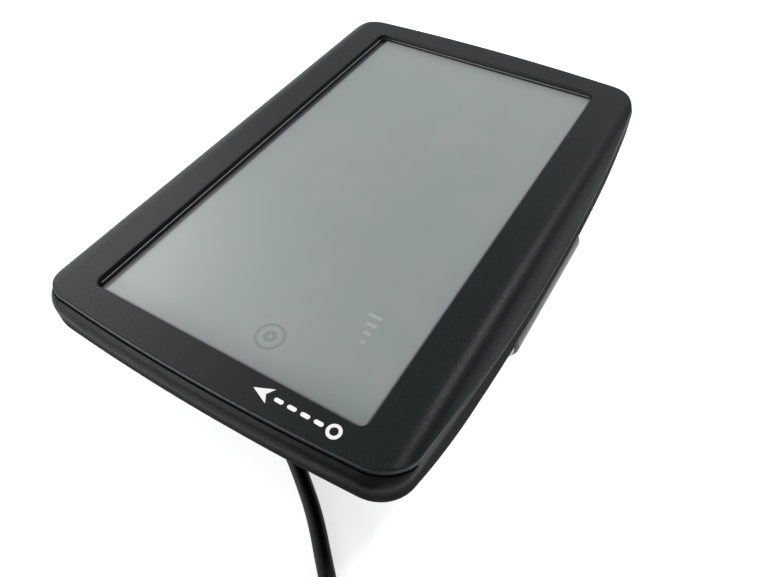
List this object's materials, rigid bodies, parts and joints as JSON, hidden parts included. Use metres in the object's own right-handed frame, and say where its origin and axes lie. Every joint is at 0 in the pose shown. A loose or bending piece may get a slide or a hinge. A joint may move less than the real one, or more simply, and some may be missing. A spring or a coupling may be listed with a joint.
{
  "type": "portable gps navigator",
  "caption": "Flat rectangular navigator with a recessed touch screen, a suction mount that folds flush into its back, and a coiled USB lead plugged into its underside.",
  "frame": {"origin": "centre of the navigator's footprint, on the surface that it lies on when it is on its back", "axes": "+X along the screen's long side, to the right as it is read; +Y towards the top edge of the screen, where the power button is; +Z out of the screen"},
  "size_m": [0.2111, 0.1099, 0.025],
  "materials": {
    "soft_touch_plastic": "soft-touch satin with a fine speckle",
    "casing_plastic": "fine moulded texture, semi-matt",
    "mount_plastic": "smooth moulded, semi-gloss",
    "cup_rubber": "smooth soft rubber",
    "cord_rubber": "soft cord jacket, slight sheen",
    "plug_plastic": "fine spark-eroded texture",
    "connector_plastic": "smooth moulded",
    "tie_plastic": "soft strap",
    "screen_glass": "anti-glare, faint dust",
    "display_panel": "unlit display, grey green",
    "sheet_steel": "plated sheet",
    "steel": "turned and pressed",
    "black_steel": "black oxide",
    "foam": "closed-cell foam",
    "circuit_board": "green solder mask",
    "flexible_circuit": "amber film",
    "chip_resin": "moulded resin",
    "ceramic": "ceramic with a silvered patch",
    "cell_wrap": "foil pouch",
    "wire_cover": "thin insulation",
    "cone_paper": "pressed paper"
  },
  "bodies": {
    "device": {"front_bezel": "soft_touch_plastic", "rear_casing": "casing_plastic", "cord_lead": "cord_rubber", "cord_tail": "cord_rubber", "cord_coil": "cord_rubber", "device_plug_relief": "cord_rubber", "host_plug_relief": "cord_rubber", "device_plug_body": "plug_plastic", "host_plug_body": "plug_plastic", "host_plug_insert": "connector_plastic", "usb_receptacle_tongue": "connector_plastic", "battery_connector": "connector_plastic", "ribbon_connectors": "connector_plastic", "speaker_connector": "connector_plastic", "power_switch": "connector_plastic", "coil_tie": "tie_plastic", "touch_panel": "screen_glass", "lcd_glass": "display_panel", "backlight_plate": "display_panel", "lcd_frame": "sheet_steel", "chassis_plate": "sheet_steel", "receiver_shield": "sheet_steel", "card_slot": "sheet_steel", "usb_receptacle": "sheet_steel", "device_plug_shell": "sheet_steel", "host_plug_shell": "sheet_steel", "hinge_pin": "steel", "hinge_washers": "steel", "speaker_frame": "steel", "speaker_magnet": "steel", "casing_screws": "black_steel", "board_screws": "black_steel", "display_gasket": "foam", "battery_pad": "foam", "speaker_gasket": "foam", "main_board": "circuit_board", "display_ribbon": "flexible_circuit", "touch_ribbon": "flexible_circuit", "processor_chip": "chip_resin", "memory_chips": "chip_resin", "power_inductors": "chip_resin", "gps_antenna": "ceramic", "battery_cell": "cell_wrap", "battery_leads": "wire_cover", "speaker_leads": "wire_cover", "speaker_cone": "cone_paper"},
    "power_button": {"power_button": "casing_plastic"},
    "mount": {"mount_arm": "mount_plastic", "suction_cup": "cup_rubber", "release_spring": "steel", "dial_circlip": "steel"},
    "dial": {"lock_dial": "mount_plastic", "dial_cap": "casing_plastic"},
    "plunger": {"cup_plunger": "mount_plastic", "plunger_pin": "steel"}
  },
  "joints": [
    {"name": "button_press", "type": "slide", "parent": "device", "child": "power_button", "axis": [0, -1, 0], "range_m": [0, 0.0006], "stiffness_N_per_m": 900},
    {"name": "mount_fold", "type": "hinge", "parent": "device", "child": "mount", "pos_m": [0, -0.0407, 0.0103], "axis": [-1, 0, 0], "range_deg": [0, 140]},
    {"name": "dial_turn", "type": "hinge", "parent": "mount", "child": "dial", "pos_m": [0, -0.001, 0.008], "axis": [0, 0, 1], "range_deg": [0, 90]},
    {"name": "plunger_lift", "type": "slide", "parent": "mount", "child": "plunger", "axis": [0, 0, 1], "range_m": [0, 0.0015], "deforming": ["release_spring"]}
  ],
  "couplings": [
    {"joint": "plunger_lift", "follows": "dial_turn", "m_per_rad": 0.00095493}
  ]
}
